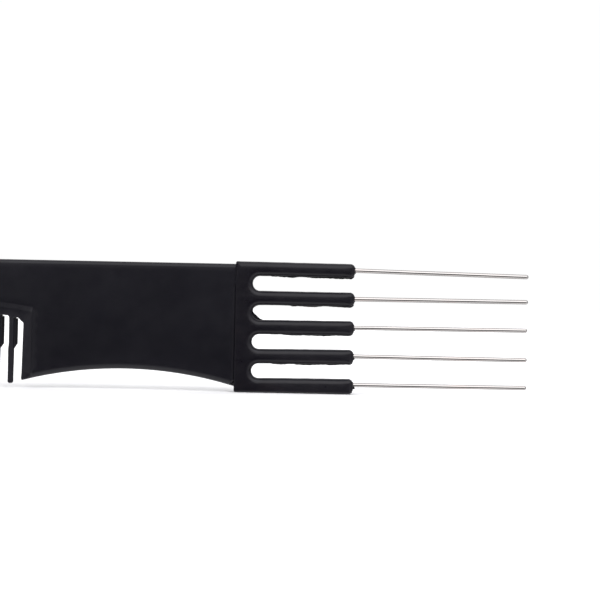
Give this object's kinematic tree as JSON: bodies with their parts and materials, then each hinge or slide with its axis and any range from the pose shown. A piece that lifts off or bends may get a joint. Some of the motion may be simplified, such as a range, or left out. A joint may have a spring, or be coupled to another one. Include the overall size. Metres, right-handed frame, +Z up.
{
  "type": "lift comb",
  "caption": "Flat plastic lift comb with a row of stepped teasing teeth, a handle panel and a fork of round-ended metal lift pins.",
  "frame": {"origin": "middle of the bottom of the bounding box, where the comb stands on its long edge", "axes": "+X along the comb towards the pins, +Z up from the tooth tips to the spine, +Y through the thickness, towards the back"},
  "size_m": [0.2026, 0.0044, 0.036],
  "materials": {
    "blade_plastic": "fine matte, moulded black",
    "fork_plastic": "satin moulded black with a rough parting line",
    "pin_steel": "drawn stainless wire, polished"
  },
  "bodies": {
    "root": {"comb_blade": "blade_plastic", "fork_head": "fork_plastic", "lift_pin_1": "pin_steel", "lift_pin_2": "pin_steel", "lift_pin_3": "pin_steel", "lift_pin_4": "pin_steel", "lift_pin_5": "pin_steel", "tooth_01": "blade_plastic", "tooth_02": "blade_plastic", "tooth_03": "blade_plastic", "tooth_04": "blade_plastic", "tooth_05": "blade_plastic", "tooth_06": "blade_plastic", "tooth_07": "blade_plastic", "tooth_08": "blade_plastic", "tooth_09": "blade_plastic", "tooth_10": "blade_plastic", "tooth_11": "blade_plastic", "tooth_12": "blade_plastic", "tooth_13": "blade_plastic", "tooth_14": "blade_plastic", "tooth_15": "blade_plastic"}
  },
  "joints": []
}
